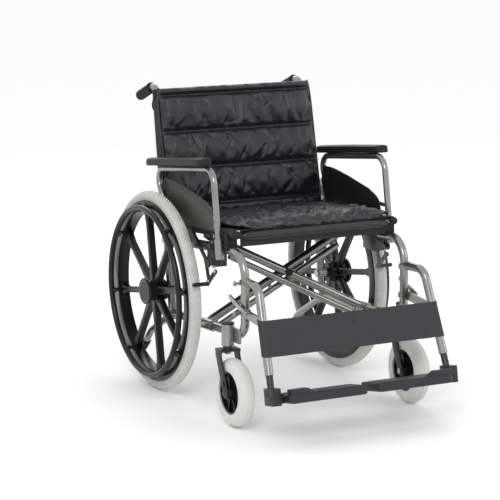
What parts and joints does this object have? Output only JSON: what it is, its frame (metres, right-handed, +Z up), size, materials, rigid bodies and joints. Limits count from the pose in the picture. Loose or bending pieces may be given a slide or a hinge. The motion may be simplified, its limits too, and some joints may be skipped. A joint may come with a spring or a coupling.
{
  "type": "manual wheelchair",
  "caption": "Folding self-propelled wheelchair with mag wheels, handrims, swing-away leg rests, lift-off armrests, push handles and a cross brace.",
  "frame": {"origin": "on the floor under the middle of the chair's length and width", "axes": "+Z up; the chair faces -Y; +X is towards the occupant's left hand"},
  "size_m": [0.7228, 1.0998, 0.9211],
  "materials": {
    "frame_paint": "silver-grey metallic paint, satin gloss",
    "black_metal": "black powder coat, semi-gloss",
    "brake_grey": "dark grey satin",
    "bare_steel": "zinc-plated",
    "wheel_plastic": "moulded, glossy black",
    "handrim_plastic": "coated, glossy black",
    "black_plastic": "moulded, satin black",
    "footplate_plastic": "moulded, dark grey",
    "tyre_grey": "solid polyurethane, warm light grey",
    "grip_rubber": "ribbed, matte black",
    "pad_vinyl": "padded vinyl, black",
    "nylon": "charcoal nylon with a slight sheen"
  },
  "bodies": {
    "right_frame": {"right_side_frame": "frame_paint", "right_push_cane": "frame_paint", "right_push_grip": "grip_rubber", "right_tip_cap": "grip_rubber", "right_rear_axle": "bare_steel", "right_caster_cap": "black_plastic", "right_seat_saddles": "black_plastic", "right_brake_bracket": "brake_grey", "back_cushion": "nylon"},
    "right_wheel": {"right_rear_wheel": "wheel_plastic", "right_rear_tyre": "tyre_grey", "right_wheel_bearings": "bare_steel", "right_handrim": "handrim_plastic", "right_hub_cap": "wheel_plastic"},
    "right_fork": {"right_caster_fork": "black_metal", "right_caster_axle": "bare_steel"},
    "right_caster": {"right_caster_wheel": "wheel_plastic", "right_caster_tyre": "tyre_grey"},
    "right_armrest": {"right_armrest_frame": "frame_paint", "right_armrest_pad": "pad_vinyl", "right_side_panel": "black_plastic"},
    "right_lever": {"right_brake_lever": "black_metal"},
    "right_shoe": {"right_brake_shoe": "black_metal"},
    "right_legrest": {"right_hanger": "frame_paint", "right_calf_strap": "nylon"},
    "right_latch": {"right_hanger_latch": "bare_steel"},
    "right_leg": {"right_leg_tube": "black_metal"},
    "right_foot": {"right_footplate": "footplate_plastic"},
    "brace_rear": {"brace_arm_rear": "frame_paint"},
    "brace_front": {"brace_arm_front": "frame_paint", "pivot_bolt": "black_plastic"},
    "seat": {"seat_cushion": "nylon", "seat_sling": "nylon"},
    "left_frame": {"left_side_frame": "frame_paint", "left_push_cane": "frame_paint", "left_push_grip": "grip_rubber", "left_tip_cap": "grip_rubber", "left_rear_axle": "bare_steel", "left_caster_cap": "black_plastic", "left_seat_saddles": "black_plastic", "left_brake_bracket": "brake_grey"},
    "left_wheel": {"left_rear_wheel": "wheel_plastic", "left_rear_tyre": "tyre_grey", "left_wheel_bearings": "bare_steel", "left_handrim": "handrim_plastic", "left_hub_cap": "wheel_plastic"},
    "left_fork": {"left_caster_fork": "black_metal", "left_caster_axle": "bare_steel"},
    "left_caster": {"left_caster_wheel": "wheel_plastic", "left_caster_tyre": "tyre_grey"},
    "left_armrest": {"left_armrest_frame": "frame_paint", "left_armrest_pad": "pad_vinyl", "left_side_panel": "black_plastic"},
    "left_lever": {"left_brake_lever": "black_metal"},
    "left_shoe": {"left_brake_shoe": "black_metal"},
    "left_legrest": {"left_hanger": "frame_paint", "left_calf_strap": "nylon"},
    "left_latch": {"left_hanger_latch": "bare_steel"},
    "left_leg": {"left_leg_tube": "black_metal"},
    "left_foot": {"left_footplate": "footplate_plastic"}
  },
  "joints": [
    {"name": "fold", "type": "hinge", "parent": "right_frame", "child": "brace_rear", "pos_m": [-0.262, -0.014, 0.2477], "axis": [0, -0.998, 0.0629], "range_deg": [0, 45], "deforming": ["seat_cushion", "seat_sling", "back_cushion", "right_calf_strap", "left_calf_strap"]},
    {"name": "brace_pivot", "type": "hinge", "parent": "brace_rear", "child": "brace_front", "pos_m": [0, -0.0056, 0.38093], "axis": [0, -0.998, 0.0629], "range_deg": [-90, 0]},
    {"name": "left_rail_hinge", "type": "hinge", "parent": "brace_front", "child": "left_frame", "pos_m": [0.262, -0.014, 0.2477], "axis": [0, -0.998, 0.0629], "range_deg": [0, 45]},
    {"name": "seat_lift", "type": "slide", "parent": "right_frame", "child": "seat", "axis": [0, 0.0629, 0.998], "range_m": [0, 0.29253]},
    {"name": "right_wheel_spin", "type": "hinge", "parent": "right_frame", "child": "right_wheel", "pos_m": [-0.3145, 0.245, 0.305], "axis": [1, 0, 0], "continuous": true},
    {"name": "right_caster_swivel", "type": "hinge", "parent": "right_frame", "child": "right_fork", "pos_m": [-0.29, -0.208, 0.26], "axis": [0, 0, 1], "continuous": true},
    {"name": "right_caster_spin", "type": "hinge", "parent": "right_fork", "child": "right_caster", "pos_m": [-0.29, -0.254, 0.1], "axis": [1, 0, 0], "continuous": true},
    {"name": "right_armrest_lift", "type": "slide", "parent": "right_frame", "child": "right_armrest", "axis": [0, 0.1736, 0.9848], "range_m": [0, 0.12]},
    {"name": "right_brake_lever", "type": "hinge", "parent": "right_frame", "child": "right_lever", "pos_m": [-0.3005, -0.1, 0.449], "axis": [1, 0, 0], "range_deg": [0, 50]},
    {"name": "right_brake_shoe", "type": "hinge", "parent": "right_frame", "child": "right_shoe", "pos_m": [-0.287, -0.055, 0.449], "axis": [1, 0, 0], "range_deg": [0, 9.3]},
    {"name": "right_legrest_swing", "type": "hinge", "parent": "right_frame", "child": "right_legrest", "pos_m": [-0.262, -0.263, 0.38], "axis": [0, 0, -1], "range_deg": [0, 70]},
    {"name": "right_latch", "type": "hinge", "parent": "right_legrest", "child": "right_latch", "pos_m": [-0.282, -0.3, 0.34], "axis": [1, 0, 0], "range_deg": [0, 25]},
    {"name": "right_leg_length", "type": "slide", "parent": "right_legrest", "child": "right_leg", "axis": [-0.0521, -0.373, -0.9264], "range_m": [0, 0.06]},
    {"name": "right_foot_flip", "type": "hinge", "parent": "right_leg", "child": "right_foot", "pos_m": [-0.244, -0.483, 0.129], "axis": [0, -0.9816, 0.1908], "range_deg": [0, 90]},
    {"name": "left_wheel_spin", "type": "hinge", "parent": "left_frame", "child": "left_wheel", "pos_m": [0.3145, 0.245, 0.305], "axis": [1, 0, 0], "continuous": true},
    {"name": "left_caster_swivel", "type": "hinge", "parent": "left_frame", "child": "left_fork", "pos_m": [0.29, -0.208, 0.26], "axis": [0, 0, 1], "continuous": true},
    {"name": "left_caster_spin", "type": "hinge", "parent": "left_fork", "child": "left_caster", "pos_m": [0.29, -0.254, 0.1], "axis": [1, 0, 0], "continuous": true},
    {"name": "left_armrest_lift", "type": "slide", "parent": "left_frame", "child": "left_armrest", "axis": [0, 0.1736, 0.9848], "range_m": [0, 0.12]},
    {"name": "left_brake_lever", "type": "hinge", "parent": "left_frame", "child": "left_lever", "pos_m": [0.3005, -0.1, 0.449], "axis": [1, 0, 0], "range_deg": [0, 50]},
    {"name": "left_brake_shoe", "type": "hinge", "parent": "left_frame", "child": "left_shoe", "pos_m": [0.287, -0.055, 0.449], "axis": [1, 0, 0], "range_deg": [0, 9.3]},
    {"name": "left_legrest_swing", "type": "hinge", "parent": "left_frame", "child": "left_legrest", "pos_m": [0.262, -0.263, 0.38], "axis": [0, 0, 1], "range_deg": [0, 70]},
    {"name": "left_latch", "type": "hinge", "parent": "left_legrest", "child": "left_latch", "pos_m": [0.282, -0.3, 0.34], "axis": [1, 0, 0], "range_deg": [0, 25]},
    {"name": "left_leg_length", "type": "slide", "parent": "left_legrest", "child": "left_leg", "axis": [0.0521, -0.373, -0.9264], "range_m": [0, 0.06]},
    {"name": "left_foot_flip", "type": "hinge", "parent": "left_leg", "child": "left_foot", "pos_m": [0.244, -0.483, 0.129], "axis": [0, 0.9816, -0.1908], "range_deg": [0, 90]}
  ],
  "couplings": [
    {"joint": "brace_pivot", "follows": "fold", "ratio": -2},
    {"joint": "left_rail_hinge", "follows": "fold", "ratio": 1},
    {"joint": "seat_lift", "follows": "fold", "m_per_rad": 0.3722},
    {"joint": "right_brake_shoe", "follows": "right_brake_lever", "ratio": 0.186},
    {"joint": "right_foot_flip", "follows": "fold", "ratio": 2},
    {"joint": "left_brake_shoe", "follows": "left_brake_lever", "ratio": 0.186},
    {"joint": "left_foot_flip", "follows": "fold", "ratio": 2}
  ]
}
